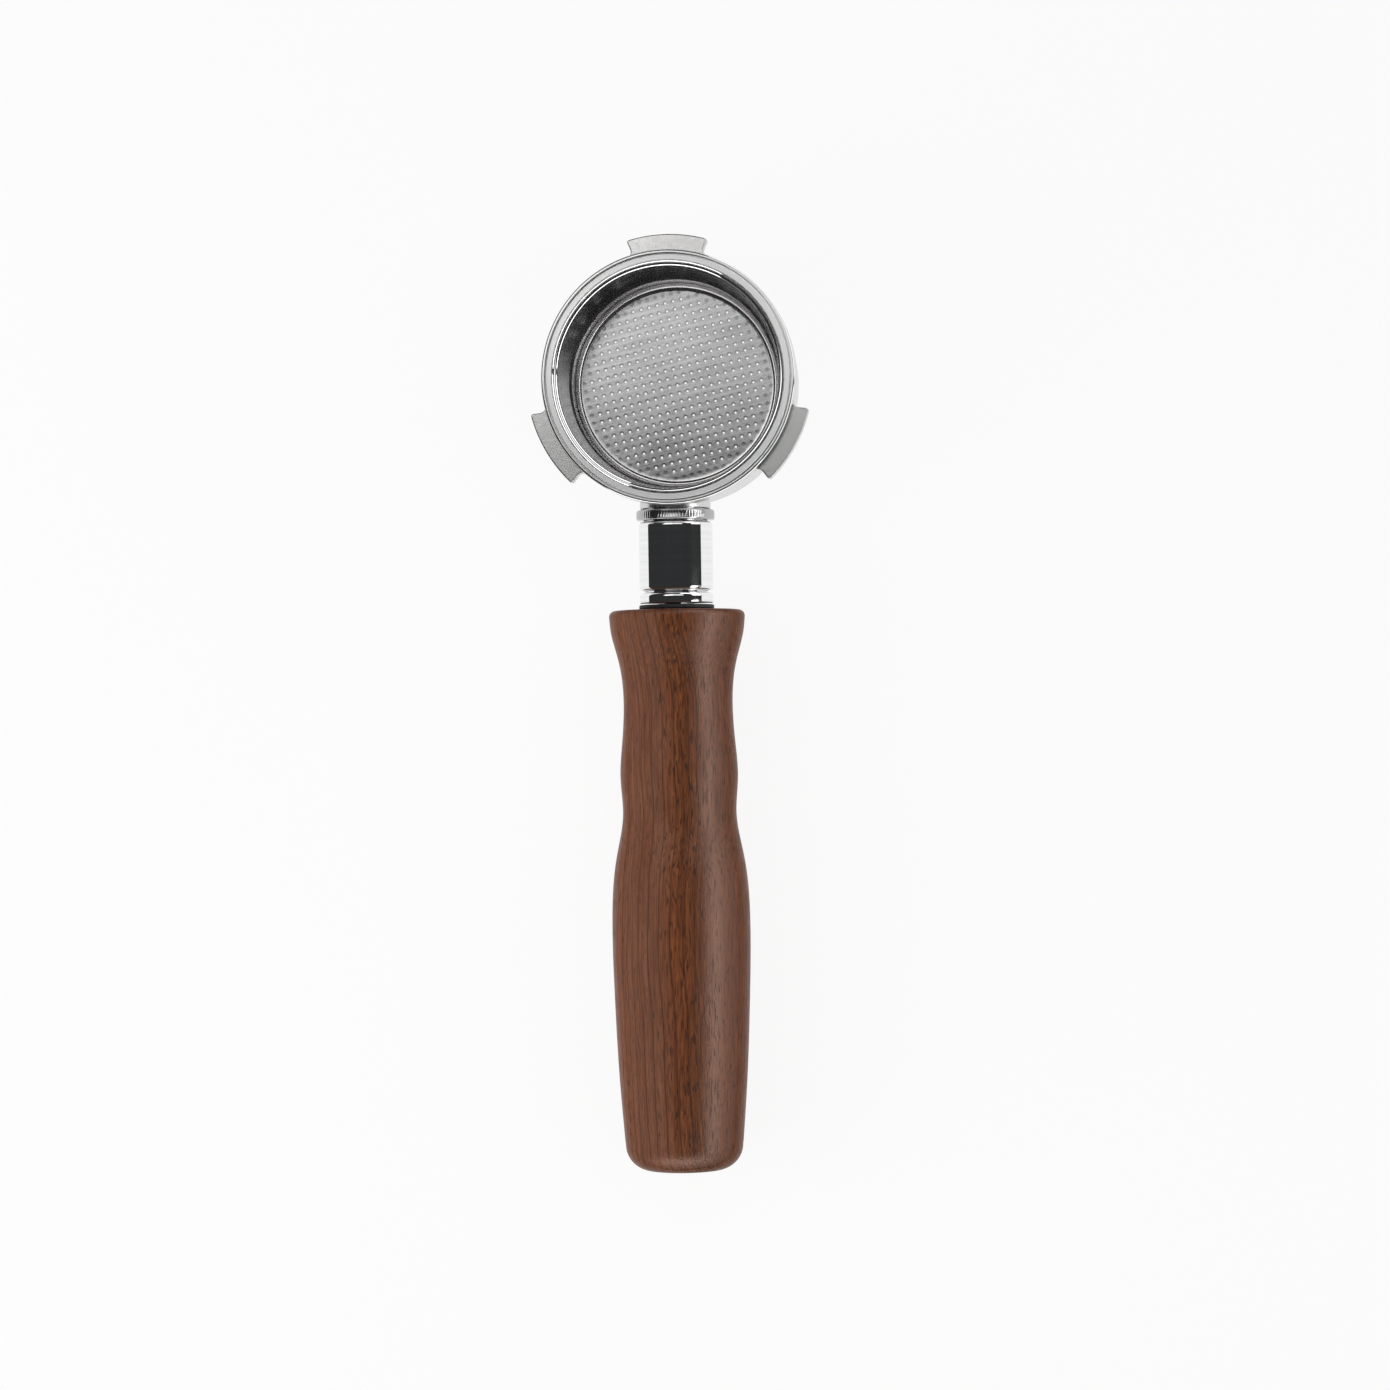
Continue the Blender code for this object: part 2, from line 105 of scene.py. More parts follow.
HOLE_TURN = math.radians(13.5)
HOLE_SIDES = 10
FLOOR_FLAT = 22.9 * MM  # where the triangulated floor meets the turned shell
PRESSED, TURNED, BRIGHT = 1, 2, 3  # the basket's material slots after its wall's

# Head ring
HEAD_RADIUS = 30.6 * MM
LIP_INNER = FLANGE_RADIUS + FLANGE_GAP
LIP_ROUND = 0.12 * MM
RIM_ROUND = 0.5 * MM
UPPER_BORE = 28.0 * MM
LOWER_BORE = 27.3 * MM
BORE_STEP = 19.4 * MM
SKIRT_RADIUS = 29.4 * MM
SKIRT_TOP = 22.3 * MM
SHOULDER_ROUND = 0.8 * MM
FOOT_ROUND = 0.5 * MM
GROOVE_RADIUS = 28.85 * MM
GROOVE_HALF = 0.9 * MM
LUG_TOP = 28.4 * MM
LUG_THICK = 3.4 * MM
LUG_HALF_ANGLE = math.radians(16.5)
LUG_FLARE = math.radians(0.9)
LUG_EDGE = 0.35 * MM
LUG_CORNER = 0.6 * MM
LUG_ROOT = 1.5 * MM
LUG_ANGLES = [math.radians(90), math.radians(210), math.radians(330)]
BOSS_RADIUS = 8.6 * MM
BOSS_START = 20.0 * MM
BOSS_END = 31.0 * MM
SPIGOT_RADIUS = 7.4 * MM
STUD_HOLE = 4.2 * MM
STUD_HOLE_START = 29.1 * MM
OVERCUT = 1.0 * MM  # how far a cutting shape reaches past what it cuts

# Wire clip
CLIP_GAP = math.radians(26)
CLIP_STEPS = 200
CLIP_SIDES = 20
CLIP_END_STEPS = 6

# Neck
SLEEVE_BORE = 7.75 * MM
FERRULE_SPIGOT = 3.2 * MM
NECK_EDGE = 0.25 * MM
NECK_ROUND = 1.0 * MM
COLLAR_EDGE = 0.45 * MM
RIBS = 84
RIB_STEPS = 6
RIB_DEPTH = 0.06 * MM
TUBE_INNER_EDGE = 0.12 * MM

# Handle
FACE_CORNER = 1.5 * MM
END_CORNER = 6.3 * MM
END_DOME = 0.5 * MM
POCKET_RADIUS = 6.7 * MM
POCKET_DEPTH = 24.8 * MM
POCKET_EDGE = 0.3 * MM
HANDLE_STATIONS = [  # (distance from the face, radius) where the outline turns
    (1.5 * MM, 16.50 * MM),
    (5.2 * MM, 16.12 * MM),
    (12.0 * MM, 14.40 * MM),
    (22.0 * MM, 13.25 * MM),
    (32.0 * MM, 13.75 * MM),
    (40.5 * MM, 14.28 * MM),
    (49.5 * MM, 13.80 * MM),
    (60.0 * MM, 15.53 * MM),
    (74.5 * MM, 16.74 * MM),
    (94.0 * MM, 16.40 * MM),
    (112.0 * MM, 15.60 * MM),
    (129.9 * MM, 14.25 * MM),
]

# Wood: where the rings' centre lies from the handle's axis, and its colours
PITH_ASIDE = 60.0 * MM
PITH_BELOW = 10.0 * MM
WARM_RING = 68.0 * MM
WOOD_DARK = (0.110, 0.035, 0.016)
WOOD_MIDDLE = (0.186, 0.063, 0.028)
WOOD_LIGHT = (0.238, 0.083, 0.038)
WOOD_ORANGE = (0.265, 0.084, 0.025)
WOOD_LINE = (0.026, 0.011, 0.007)

# How finely round shapes are divided
HEAD_STEPS = 192
NECK_STEPS = 128
HANDLE_STEPS = 160
STUD_HOLE_STEPS = 48
HANDLE_SPANS = 14
DOME_STEPS = 10
LUG_TIP_STEPS = 12
LUG_EDGE_STEPS = 4
ARC_STEPS = 6
SHARP_ANGLE = math.radians(35)

# Stage
TABLE_HALF = 3.0
TABLE_DROP = 0.05 * MM
TABLE_GLOW = 0.905
CAMERA_PLACE = (0.0953, -0.0872, 0.9818)
CAMERA_TILT = (0.568, 5.406, -0.851)  # degrees about X, Y and Z
CAMERA_LENS = 103.4


# ---------------------------------------------------------------- outlines


def arc(centre_r, centre_z, radius, start, end, count=ARC_STEPS):
    """Points on an arc in the outline's plane, from start to end, in degrees."""
    points = []
    for i in range(count + 1):
        angle = math.radians(start + (end - start) * i / count)
        points.append((centre_r + radius * math.cos(angle), centre_z + radius * math.sin(angle)))
    return points


def sweep(centre, first, last, count):
    """Points on the shorter arc about centre, from first to last."""
    start = math.atan2(*(first - centre)[::-1])
    turn = math.atan2(*(last - centre)[::-1]) - start
    turn = (turn + math.pi) % math.tau - math.pi
    radius = np.linalg.norm(first - centre)
    return [
        tuple(centre + radius * np.array((math.cos(start + turn * k / count), math.sin(start + turn * k / count))))
        for k in range(count + 1)
    ]


def rounded(corners, count=ARC_STEPS):
    """A closed outline from (r, z, radius) corners, each corner turned into an arc of that radius."""
    points = []
    for i, (r, z, radius) in enumerate(corners):
        here = np.array((r, z))
        if radius == 0:
            points.append((r, z))
            continue
        before = np.array(corners[i - 1][:2]) - here
        after = np.array(corners[(i + 1) % len(corners)][:2]) - here
        before /= np.linalg.norm(before)
        after /= np.linalg.norm(after)
        half = math.acos(float(np.clip(before @ after, -1, 1))) / 2
        middle = (before + after) / np.linalg.norm(before + after)
        centre = here + middle * radius / math.sin(half)
        reach = radius / math.tan(half)
        points += sweep(centre, here + before * reach, here + after * reach, count)
    return points


def smooth_curve(stations, spans):
    """Points on the natural cubic spline through the stations."""
    x = np.array([s[0] for s in stations])
    y = np.array([s[1] for s in stations])
    h = np.diff(x)
    count = len(x)
    matrix = np.eye(count)
    right = np.zeros(count)
    for i in range(1, count - 1):
        matrix[i, i - 1 : i + 2] = [h[i - 1], 2 * (h[i - 1] + h[i]), h[i]]
        right[i] = 6 * ((y[i + 1] - y[i]) / h[i] - (y[i] - y[i - 1]) / h[i - 1])
    bend = np.linalg.solve(matrix, right)
    points = []
    for i in range(count - 1):
        for k in range(spans):
            t = h[i] * k / spans
            slope = (y[i + 1] - y[i]) / h[i] - h[i] * (2 * bend[i] + bend[i + 1]) / 6
            rise = slope * t + bend[i] * t**2 / 2 + (bend[i + 1] - bend[i]) * t**3 / (6 * h[i])
            points.append((float(y[i] + rise), float(x[i] + t)))
    points.append((float(y[-1]), float(x[-1])))
    return points


# ---------------------------------------------------------------- meshes


def finish_mesh(name, bm, *materials):
    """An object from a bmesh, shaded smooth with its sharp edges kept."""
    mesh = bpy.data.meshes.new(name)
    bm.to_mesh(mesh)
    bm.free()
    for used in materials:
        mesh.materials.append(used)
    mesh.shade_smooth()
    mesh.set_sharp_from_angle(angle=SHARP_ANGLE)
    obj = bpy.data.objects.new(name, mesh)
    bpy.context.scene.collection.objects.link(obj)
    return obj


def keep_flats_flat(obj):
    """Shades by face area, so that a flat face next to a small round stays flat."""
    weighted = obj.modifiers.new("Flat faces", "WEIGHTED_NORMAL")
    weighted.keep_sharp = True
    weighted.weight = 80
    return obj


def lathe(outline, steps):
    """A closed turned solid about Z from a closed outline of (radius, height), as a bmesh."""
    area = 0.0
    for (r1, z1), (r2, z2) in zip(outline, outline[1:] + outline[:1]):
        area += r1 * z2 - r2 * z1
    if area < 0:
        outline = outline[::-1]
    bm = bmesh.new()
    rings = []
    for r, z in outline:
        if r < 1e-7:
            rings.append([bm.verts.new((0.0, 0.0, z))] * steps)
            continue
        ring = []
        for k in range(steps):
            angle = math.tau * k / steps
            ring.append(bm.verts.new((r * math.cos(angle), r * math.sin(angle), z)))
        rings.append(ring)
    join_rings(bm, rings, closed=True)
    return bm


def join_rings(bm, rings, closed=False, slot=0):
    """Faces between each ring of points and the next."""
    count = len(rings[0])
    pairs = list(zip(rings, rings[1:] + rings[:1])) if closed else list(zip(rings, rings[1:]))
    for low, high in pairs:
        if low[0] is low[1] and high[0] is high[1]:
            continue  # both on the axis
        for k in range(count):
            n = (k + 1) % count
            corners = [low[k], low[n], high[n], high[k]]
            corners = [v for i, v in enumerate(corners) if v is not corners[i - 1]]
            bm.faces.new(corners).material_index = slot


def on_handle_axis(bm):
    """Lays what is turned about Z on the handle's axis, its Z running from the head towards -Y."""
    for vert in bm.verts:
        x, y, z = vert.co
        vert.co = (x, -z, AXIS_HEIGHT + y)
    return bm


def boolean(obj, other, operation):
    """Joins or cuts obj with other, which is then removed."""
    modifier = obj.modifiers.new("Boolean", "BOOLEAN")
    modifier.operation = operation
    modifier.object = other
    modifier.solver = "EXACT"
    graph = bpy.context.evaluated_depsgraph_get()
    graph.update()
    made = bpy.data.meshes.new_from_object(obj.evaluated_get(graph))
    obj.modifiers.clear()
    old = obj.data
    obj.data = made
    bpy.data.meshes.remove(old)
    spare = other.data
    bpy.data.objects.remove(other)
    bpy.data.meshes.remove(spare)


# ---------------------------------------------------------------- materials


class Shader:
    """A node material, with short words for the nodes that the finishes here are made of."""

    def __init__(self, name):
        self.material = bpy.data.materials.new(name)
        self.material.use_nodes = True
        self.tree = self.material.node_tree
        self.surface = self.tree.nodes["Principled BSDF"]
        self.place = self.tree.nodes.new("ShaderNodeTexCoord").outputs["Object"]

    def feed(self, socket, value):
        if isinstance(value, bpy.types.NodeSocket):
            self.tree.links.new(value, socket)
        elif isinstance(value, tuple) and len(value) == 3 and len(socket.default_value) == 4:
            socket.default_value = (*value, 1.0)
        else:
            socket.default_value = value

    def node(self, kind, inputs, **settings):
        made = self.tree.nodes.new(kind)
        for name, value in settings.items():
            setattr(made, name, value)
        for socket, value in inputs.items():
            self.feed(made.inputs[socket], value)
        return made

    def math(self, operation, *values):
        return self.node("ShaderNodeMath", dict(enumerate(values)), operation=operation).outputs[0]

    def vector(self, operation, *values):
        made = self.node("ShaderNodeVectorMath", dict(enumerate(values)), operation=operation)
        return made.outputs["Value" if operation == "LENGTH" else "Vector"]

    def parts(self, vector):
        return self.node("ShaderNodeSeparateXYZ", {0: vector}).outputs

    def joined(self, x, y, z):
        return self.node("ShaderNodeCombineXYZ", {0: x, 1: y, 2: z}).outputs[0]

    def noise(self, vector, scale, detail, roughness):
        inputs = {"Vector": vector, "Scale": scale, "Detail": detail, "Roughness": roughness}
        return self.node("ShaderNodeTexNoise", inputs).outputs[0]

    def spread(self, value, low, high, new_low, new_high):
        """value, taken from low..high to new_low..new_high and kept there."""
        inputs = {0: value, 1: low, 2: high, 3: new_low, 4: new_high}
        return self.node("ShaderNodeMapRange", inputs).outputs[0]

    def ramp(self, value, stops):
        made = self.node("ShaderNodeValToRGB", {0: value})
        marks = made.color_ramp.elements
        marks[0].position, marks[1].position = stops[0][0], stops[-1][0]
        for where, _ in stops[1:-1]:
            marks.new(where)
        for mark, (where, colour) in zip(marks, stops):
            mark.position, mark.color = where, (*colour, 1.0)
        return made.outputs[0]

    def mix(self, factor, first, second, blend="MIX"):
        made = self.node("ShaderNodeMix", {0: factor, 6: first, 7: second}, data_type="RGBA", blend_type=blend)
        return made.outputs[2]

    def bump(self, height, distance):
        made = self.node("ShaderNodeBump", {"Height": height, "Distance": distance})
        self.tree.links.new(made.outputs[0], self.surface.inputs["Normal"])

    def set(self, **inputs):
        for name, value in inputs.items():
            self.feed(self.surface.inputs[name.replace("_", " ")], value)
        return self.material

    def round_head(self):
        """The direction round the head's axis, which stretches a highlight along it, or across after a quarter turn."""
        return self.node("ShaderNodeTangent", {}, direction_type="RADIAL", axis="Z").outputs[0]

    def about_head(self):
        """(distance from the head's axis, height) as two outputs."""
        x, y, z = self.parts(self.place)
        return self.vector("LENGTH", self.joined(x, y, 0.0)), z

    def about_handle(self):
        """(distance from the handle's axis, distance along it) as two outputs."""
        x, y, z = self.parts(self.place)
        return self.vector("LENGTH", self.joined(x, 0.0, self.math("SUBTRACT", z, AXIS_HEIGHT))), y


def turned_steel(name, colour, roughness, grooves=2600.0, depth=0.004 * MM, about="head", spread=0.08):
    """Machined stainless steel: fine grooves round the axis and a slightly uneven polish."""
    made = Shader(name)
    if about == "head":
        made.set(Anisotropic=0.6, Anisotropic_Rotation=0.25, Tangent=made.round_head())
    out, along = made.about_head() if about == "head" else made.about_handle()
    lines = made.noise(made.joined(out, along, 0.0), grooves, 3.0, 0.65)
    broad = made.noise(made.place, 55.0, 2.0, 0.5)
    fine = made.noise(made.place, 2600.0, 2.0, 0.6)
    rough = made.math("ADD", made.spread(lines, 0.3, 0.7, -spread / 2, spread / 2), roughness)
    rough = made.math("ADD", rough, made.spread(broad, 0.3, 0.7, -spread / 3, spread / 3))
    made.bump(made.math("ADD", lines, made.math("MULTIPLY", fine, 0.4)), depth)
    tone = made.math("ADD", made.math("MULTIPLY", lines, 0.6), made.math("MULTIPLY", broad, 0.4))
    tint = made.mix(made.spread(tone, 0.35, 0.65, 0.0, 1.0), tuple(c * 0.86 for c in colour), colour)
    return made.set(Base_Color=tint, Metallic=1.0, Roughness=rough)


def pressed_steel(name, colour, roughness):
    """The basket's floor: rolled sheet, its streaks along the rows of holes, each hole with a punched rim and painted
    shade in its dimple.
    """
    made = Shader(name)
    x, y, z = made.parts(made.place)
    cos, sin = math.cos(HOLE_TURN), math.sin(HOLE_TURN)
    along = made.math("ADD", made.math("MULTIPLY", x, cos), made.math("MULTIPLY", y, sin))
    across = made.math("SUBTRACT", made.math("MULTIPLY", y, cos), made.math("MULTIPLY", x, sin))
    grain = made.noise(made.place, 2600.0, 3.0, 0.7)
    rolled = made.noise(made.joined(made.math("MULTIPLY", along, 0.06), across, 0.0), 1500.0, 3.0, 0.65)
    clouds = made.noise(made.joined(made.math("MULTIPLY", along, 0.4), across, 0.0), 170.0, 3.0, 0.55)

    def from_row(value):
        """Distance to the nearest row of holes."""
        turns = made.math("DIVIDE", value, HOLE_PITCH)
        return made.math("MULTIPLY", made.math("SUBTRACT", turns, made.math("ROUND", turns)), HOLE_PITCH)

    from_hole = made.vector("LENGTH", made.joined(from_row(along), from_row(across), 0.0))
    drawn = made.spread(from_hole, HOLE_RADIUS, HOLE_RADIUS * 2.4, 0.0, 1.0)
    row = made.spread(made.math("ABSOLUTE", from_row(across)), 0.0, HOLE_PITCH / 2, 0.0, 1.0)
    height = made.math("ADD", made.math("MULTIPLY", grain, 0.03), made.math("MULTIPLY", rolled, 0.04))
    made.bump(made.math("ADD", height, made.math("MULTIPLY", drawn, 0.16)), 0.05 * MM)
    rough = made.spread(clouds, 0.3, 0.7, roughness - 0.03, roughness + 0.03)
    tone = made.math("ADD", made.math("MULTIPLY", grain, 0.25), made.math("MULTIPLY", rolled, 0.45))
    tone = made.math("ADD", tone, made.math("MULTIPLY", clouds, 0.30))
    low, high = tuple(c * 0.74 for c in colour), tuple(c * 1.18 for c in colour)
    tint = made.mix(made.spread(tone, 0.40, 0.60, 0.0, 1.0), low, high)
    # Painted shade: darker round each hole, in its punched dimple; also slightly darker along the rows of holes than
    # between them.
    dimple_shade_and_rows = made.math("MULTIPLY", made.spread(drawn, 0.0, 1.0, 0.72, 1.0), made.spread(row, 0.0, 0.8, 0.90, 1.04))
    tint = made.mix(1.0, tint, made.joined(dimple_shade_and_rows, dimple_shade_and_rows, dimple_shade_and_rows), "MULTIPLY")
    return made.set(Base_Color=tint, Metallic=1.0, Roughness=rough)


def blasted_steel(name, colour, roughness):
    """Bead-blasted steel: a matt, fine-grained grey."""
    made = Shader(name)
    grain = made.noise(made.place, 5200.0, 3.0, 0.6)
    coarse = made.noise(made.place, 900.0, 3.0, 0.6)
    broad = made.noise(made.place, 90.0, 2.0, 0.5)
    made.bump(made.math("ADD", grain, made.math("MULTIPLY", coarse, 0.6)), 0.012 * MM)
    value = made.math("ADD", made.math("MULTIPLY", grain, 0.5), made.math("MULTIPLY", broad, 0.5))
    low, high = tuple(c * 0.90 for c in colour), tuple(c * 1.06 for c in colour)
    tint = made.mix(made.spread(value, 0.35, 0.65, 0.0, 1.0), low, high)
    rough = made.spread(coarse, 0.3, 0.7, roughness - 0.04, roughness + 0.04)
    return made.set(Base_Color=tint, Metallic=1.0, Roughness=rough)


def mirror_steel(name, colour, roughness, about="handle", brushed=0.0):
    """Polished steel: faint hairlines from the polishing wheel and a very slight unevenness."""
    made = Shader(name)
    if brushed:
        made.set(Anisotropic=brushed, Anisotropic_Rotation=0.0, Tangent=made.round_head())
    out, along = made.about_head() if about == "head" else made.about_handle()
    line_scale, band_scale, line_depth = (1200.0, 500.0, 0.0001 * MM) if brushed else (5200.0, 900.0, 0.0004 * MM)
    hairlines = made.noise(made.joined(made.math("MULTIPLY", out, 0.4), along, 0.0), line_scale, 2.0, 0.7)
    bands = made.noise(made.joined(out, along, 0.0), band_scale, 2.0, 0.5)
    wipes = made.noise(made.vector("MULTIPLY", made.place, (1.0, 0.35, 1.0)), 160.0, 3.0, 0.6)
    rough = made.spread(wipes, 0.35, 0.75, roughness, roughness * 1.25)
    made.bump(hairlines, line_depth)
    tint = made.mix(made.spread(bands, 0.35, 0.65, 0.0, 1.0), tuple(c * 0.93 for c in colour), colour)
    return made.set(Base_Color=tint, Metallic=1.0, Roughness=rough)


def plated_steel(name, colour, roughness):
    """Zinc-plated, drawn or brass parts inside: faint machining lines and cloudy patches."""
    made = Shader(name)
    out, along = made.about_handle()
    lines = made.noise(made.joined(out, along, 0.0), 3500.0, 2.0, 0.6)
    clouds = made.noise(made.place, 420.0, 4.0, 0.6)
    made.bump(made.math("ADD", lines, clouds), 0.006 * MM)
    low = tuple(c * 0.8 for c in colour)
    rough = made.spread(clouds, 0.3, 0.7, roughness - 0.08, roughness + 0.1)
    tint = made.mix(made.spread(clouds, 0.35, 0.7, 0.0, 1.0), low, colour)
    return made.set(Base_Color=tint, Metallic=1.0, Roughness=rough)


def rubber(name):
    """Matt black rubber with a fine moulded grain and a little dust."""
    made = Shader(name)
    grain = made.noise(made.place, 4200.0, 3.0, 0.6)
    dust = made.noise(made.place, 700.0, 4.0, 0.7)
    made.bump(grain, 0.02 * MM)
    tint = made.mix(made.spread(dust, 0.5, 0.8, 0.0, 0.5), (0.012, 0.013, 0.013), (0.05, 0.05, 0.048))
    return made.set(Base_Color=tint, Roughness=made.spread(grain, 0.3, 0.7, 0.5, 0.7))


def dark_wood(name):
    """Oiled dark hardwood. Its rings are centred on the left, so their lines run straight along the top."""
    made = Shader(name)
    x, y, z = made.parts(made.place)
    behind = made.math("ADD", y, HANDLE_FACE)
    slant = made.math("MULTIPLY", made.math("EXPONENT", made.math("DIVIDE", behind, 16 * MM)), 3.5 * MM)
    sway = made.spread(made.noise(made.joined(0.0, y, 0.0), 24.0, 2.0, 0.5), 0.0, 1.0, -1.4 * MM, 1.4 * MM)
    beside_pith = made.math("ADD", made.math("ADD", x, PITH_ASIDE), made.math("ADD", slant, sway))
    above_pith = made.math("ADD", made.math("SUBTRACT", z, AXIS_HEIGHT), PITH_BELOW)
    ring = made.vector("LENGTH", made.joined(beside_pith, 0.0, above_pith))
    wobble = made.noise(made.vector("MULTIPLY", made.place, (1.0, 0.3, 1.0)), 700.0, 2.0, 0.5)
    ring = made.math("ADD", ring, made.spread(wobble, 0.0, 1.0, -0.22 * MM, 0.22 * MM))

    def along_rings(scale, detail, roughness, length=0.02, seed=0.0):
        place = made.joined(made.math("ADD", ring, seed), made.math("MULTIPLY", y, length), 0.0)
        return made.noise(place, scale, detail, roughness)

    def thin_lines(pitch, seed):
        """1 on lines that lie about a pitch apart across the rings, 0 beside them."""
        drift = made.spread(along_rings(80.0, 1.0, 0.5, 0.15, seed), 0.0, 1.0, -0.8, 0.8)
        turns = made.math("ADD", made.math("DIVIDE", ring, pitch), drift)
        off = made.math("ABSOLUTE", made.math("SUBTRACT", turns, made.math("ROUND", turns)))
        return made.spread(made.math("MULTIPLY", off, pitch), 0.04 * MM, 0.22 * MM, 1.0, 0.0)

    broad = along_rings(170.0, 2.0, 0.5, 0.03)
    streaks = along_rings(1100.0, 3.0, 0.65, 0.012)
    fine = along_rings(2300.0, 2.0, 0.6, 0.02, 0.3)
    fibres = made.noise(made.vector("MULTIPLY", made.place, (1.0, 0.05, 1.0)), 2700.0, 3.0, 0.7)
    narrow = made.math("ADD", made.math("MULTIPLY", streaks, 0.52), made.math("MULTIPLY", fine, 0.48))
    tone = made.math("ADD", made.math("MULTIPLY", broad, 0.18), made.math("MULTIPLY", narrow, 0.82))
    base = made.ramp(tone, [(0.34, WOOD_DARK), (0.46, WOOD_MIDDLE), (0.62, WOOD_LIGHT)])
    band = made.math("ABSOLUTE", made.math("SUBTRACT", ring, WARM_RING))
    near_band = made.spread(band, 1.5 * MM, 4.0 * MM, 1.0, 0.0)
    warm = made.math("MULTIPLY", near_band, made.spread(broad, 0.35, 0.55, 0.5, 1.0))
    base = made.mix(warm, base, made.mix(made.spread(narrow, 0.38, 0.58, 0.0, 1.0), WOOD_DARK, WOOD_ORANGE))
    # Painted highlight: the right flank, where the softbox's highlight falls, is painted in plainer, lighter tones and
    # its dark lines are faded.
    plain_under_highlight = made.spread(ring, WARM_RING + 2.0 * MM, WARM_RING + 4.5 * MM, 0.0, 0.75)
    base = made.mix(plain_under_highlight, base, made.mix(made.spread(fine, 0.38, 0.62, 0.0, 1.0), WOOD_MIDDLE, WOOD_LIGHT))

    patches = made.noise(made.joined(ring, made.math("MULTIPLY", y, 0.25), 0.0), 90.0, 2.0, 0.5)
    lines = made.math("MULTIPLY", thin_lines(2.6 * MM, 0.1), made.spread(patches, 0.38, 0.5, 0.15, 0.85))
    second = made.math("MULTIPLY", thin_lines(1.7 * MM, 0.7), made.spread(patches, 0.46, 0.56, 0.75, 0.0))
    lines = made.math("MAXIMUM", lines, second)
    lines = made.math("MULTIPLY", lines, made.math("SUBTRACT", 0.92, plain_under_highlight))
    base = made.mix(lines, base, WOOD_LINE)

    pores = made.noise(made.vector("MULTIPLY", made.place, (1.0, 0.10, 1.0)), 2500.0, 1.0, 0.5)
    many = made.spread(band, 1.0 * MM, 7.0 * MM, 0.53, 0.62)
    pore = made.math("MULTIPLY", made.math("SUBTRACT", pores, many), 9.0)
    pore = made.math("MINIMUM", made.math("MAXIMUM", pore, 0.0), 0.85)
    base = made.mix(pore, base, WOOD_LINE)
    base = made.mix(made.spread(fibres, 0.38, 0.60, 0.75, 0.0), base, WOOD_DARK)

    grain = made.noise(made.vector("MULTIPLY", made.place, (1.0, 0.6, 1.0)), 2300.0, 3.0, 0.75)
    height = made.math("SUBTRACT", made.math("MULTIPLY", fibres, 0.3), made.math("MULTIPLY", pore, 0.6))
    height = made.math("ADD", height, grain)
    made.bump(height, 0.075 * MM)
    rough = made.math("ADD", made.spread(streaks, 0.3, 0.7, 0.28, 0.34), made.math("MULTIPLY", pore, 0.2))
    facing = made.node("ShaderNodeLayerWeight", {"Blend": 0.5}).outputs["Facing"]
    flank = made.spread(facing, 0.01, 0.08, 0.12, 0.74)
    oil = made.math("MULTIPLY", flank, made.spread(facing, 0.15, 0.46, 1.0, 0.06))
    return made.set(Base_Color=base, Roughness=rough, Specular_IOR_Level=oil, Specular_Tint=(1.0, 0.80, 0.70))


# ---------------------------------------------------------------- pieces


def corner_arc(point, along, outward, circle, radius, count):
    """An arc tangent to a line and to a circle about the origin: outside both, or inside if radius is negative."""
    base = point + outward * radius
    reach = circle + radius
    shift = base @ along
    centre = base + along * (math.sqrt(shift * shift - base @ base + reach * reach) - shift)
    return sweep(centre, centre - outward * radius, centre * circle / reach, count)


def lug_outline():
    """The outline of a lug that points along +X, with round corners and a hollow fillet at each root."""
    side = []
    root_angle = LUG_HALF_ANGLE - LUG_FLARE
    root = HEAD_RADIUS * np.array((math.cos(root_angle), math.sin(root_angle)))
    tip = LUG_RADIUS * np.array((math.cos(LUG_HALF_ANGLE), math.sin(LUG_HALF_ANGLE)))
    along = (tip - root) / np.linalg.norm(tip - root)
    outward = np.array((-along[1], along[0]))
    corner = corner_arc(root, along, outward, LUG_RADIUS, -LUG_CORNER, 5)[::-1]
    fillet = corner_arc(root, along, outward, HEAD_RADIUS, LUG_ROOT, 7)
    first = math.atan2(corner[0][1], corner[0][0])
    for k in range(LUG_TIP_STEPS):
        angle = first * k / LUG_TIP_STEPS
        side.append((LUG_RADIUS * math.cos(angle), LUG_RADIUS * math.sin(angle)))
    side += corner + fillet
    last = math.atan2(fillet[-1][1], fillet[-1][0]) * 1.02
    inner = (SKIRT_RADIUS + UPPER_BORE) / 2
    side.append((inner * math.cos(last), inner * math.sin(last)))
    mirrored = [(x, -y) for x, y in side[1:]][::-1]
    return np.array(mirrored + side)


def lug(angle, material):
    """One bayonet lug as a closed solid with rounded upper and lower edges."""
    flat = lug_outline()
    edge = np.roll(flat, -1, axis=0) - flat
    normal = np.stack([edge[:, 1], -edge[:, 0]], axis=1)
    normal /= np.linalg.norm(normal, axis=1)[:, None]
    mitre = normal + np.roll(normal, 1, axis=0)
    mitre /= np.maximum((mitre * normal).sum(axis=1), 0.3)[:, None]
    turn = np.array([[math.cos(angle), math.sin(angle)], [-math.sin(angle), math.cos(angle)]])
    layers = []
    for k in range(LUG_EDGE_STEPS + 1):
        tilt = math.pi / 2 * k / LUG_EDGE_STEPS
        layers.append((LUG_EDGE * (1 - math.sin(tilt)), LUG_TOP - LUG_THICK + LUG_EDGE * (1 - math.cos(tilt))))
    layers += [(inset, 2 * LUG_TOP - LUG_THICK - z) for inset, z in layers[::-1]]
    bm = bmesh.new()
    rings = []
    for inset, z in layers:
        placed = (flat - mitre * inset) @ turn
        rings.append([bm.verts.new((x, y, z)) for x, y in placed])
    join_rings(bm, rings)
    bm.faces.new(rings[0][::-1])
    bm.faces.new(rings[-1])
    return finish_mesh("lug", bm, material)


